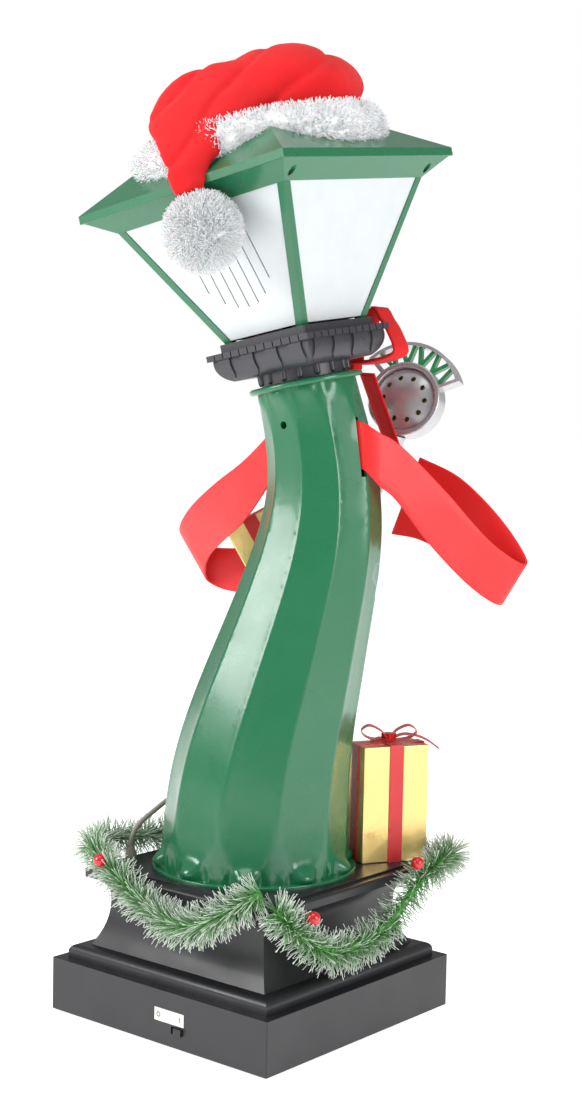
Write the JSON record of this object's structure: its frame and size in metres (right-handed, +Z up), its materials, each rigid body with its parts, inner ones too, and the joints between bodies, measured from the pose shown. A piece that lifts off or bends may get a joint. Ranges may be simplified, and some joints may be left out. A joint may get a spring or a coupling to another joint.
{
  "type": "novelty lamp post",
  "caption": "Festive lamp post with a turning lantern head on a curved fluted column, a square battery base, a microphone, ribbon arms, gifts and a hat.",
  "frame": {"origin": "on the ground under the centre of the square base", "axes": "+Z up, -Y the front, where the microphone stands; +Y the back, with the switch and the slotted pane"},
  "size_m": [0.3313, 0.3057, 0.8074],
  "materials": {
    "black_plastic": "satin black moulded plastic with a fine grain",
    "grey_plastic": "satin charcoal moulded plastic",
    "green_shell": "semi-gloss green moulded plastic",
    "frosted_pane": "frosted white translucent plastic",
    "red_felt": "red brushed felt",
    "white_fur": "white long-pile plush",
    "red_ribbon": "red coated ribbon band",
    "red_satin": "red satin ribbon",
    "gold_foil": "gold foil wrapping paper",
    "silver_plastic": "silver painted plastic",
    "green_bars": "gloss green plastic",
    "cable_jacket": "warm grey flexible jacket",
    "rubber": "black rubber",
    "steel": "zinc plated steel",
    "brass": "plain brass",
    "cell_wrap": "plain dark cell sleeve",
    "board": "green circuit board",
    "white_plastic": "white moulded plastic",
    "plate_white": "printed pale plate",
    "garland_green": "green and gold twisted wire with needles",
    "berry_red": "gloss red berry",
    "motor_can": "plated motor can"
  },
  "bodies": {
    "root": {"base_box": "black_plastic", "base_cover": "black_plastic", "battery_cells": "cell_wrap", "battery_contacts": "steel", "pedestal": "black_plastic", "top_plate": "black_plastic", "rubber_feet": "rubber", "base_screws": "steel", "circuit_board": "board", "switch_body": "black_plastic", "switch_plate": "plate_white", "column_front_half": "green_shell", "column_rear_half": "green_shell", "column_screw": "steel", "motor_bracket": "white_plastic", "neck_bushing": "white_plastic", "drive_motor": "motor_can", "bow_tails": "red_felt", "right_arm": "red_ribbon", "left_arm": "red_ribbon", "mic_ring": "silver_plastic", "mic_rear_grille": "silver_plastic", "mic_front_grille": "silver_plastic", "mic_core": "brass", "banner_frame": "silver_plastic", "banner_bars": "green_bars", "mic_socket": "silver_plastic", "stand_foot": "black_plastic", "stand_tube": "silver_plastic", "mic_cable": "cable_jacket", "cable_grommet": "cable_jacket", "garland_core": "garland_green", "garland_berries": "berry_red", "gift_box": "gold_foil", "gift_ribbon": "red_satin", "gift_bow": "red_satin", "held_gift_box": "gold_foil", "held_gift_ribbon": "red_satin"},
    "battery_door": {"battery_door": "black_plastic"},
    "switch_knob": {"switch_knob": "black_plastic"},
    "pinion": {"drive_pinion": "white_plastic"},
    "head": {"neck_spindle": "white_plastic", "neck_gear": "white_plastic", "neck_collar": "grey_plastic", "fluted_bowl": "grey_plastic", "lantern_tray": "grey_plastic", "lantern_frame": "green_shell", "rear_panel": "frosted_pane", "left_panel": "frosted_pane", "front_panel": "frosted_pane", "right_panel": "frosted_pane", "roof": "green_shell", "band_screws": "steel", "speaker": "motor_can", "light_board": "board", "bow_knot": "red_felt", "bow_loops": "red_felt"},
    "hat": {"hat_brim": "white_fur", "hat_body": "red_felt", "hat_pompom": "white_fur"}
  },
  "joints": [
    {"name": "head_turn", "type": "hinge", "parent": "root", "child": "head", "pos_m": [-0.0277, -0.0218, 0.5375], "axis": [0.169, 0.1325, 0.9767], "range_deg": [-15, 15]},
    {"name": "pinion_spin", "type": "hinge", "parent": "root", "child": "pinion", "pos_m": [-0.0089, -0.02471, 0.51416], "axis": [0.169, 0.1325, 0.9767], "range_deg": [-40, 40]},
    {"name": "hat_lift", "type": "slide", "parent": "head", "child": "hat", "axis": [0.0951, 0.8626, 0.4969], "range_m": [0, 0.08]},
    {"name": "switch_slide", "type": "slide", "parent": "root", "child": "switch_knob", "axis": [1, 0, 0], "range_m": [0, 0.004]},
    {"name": "battery_door_swing", "type": "hinge", "parent": "root", "child": "battery_door", "pos_m": [0, -0.0385, 0.0053], "axis": [-1, 0, 0], "range_deg": [0, 95]}
  ],
  "couplings": [
    {"joint": "pinion_spin", "follows": "head_turn", "ratio": -2.5}
  ]
}
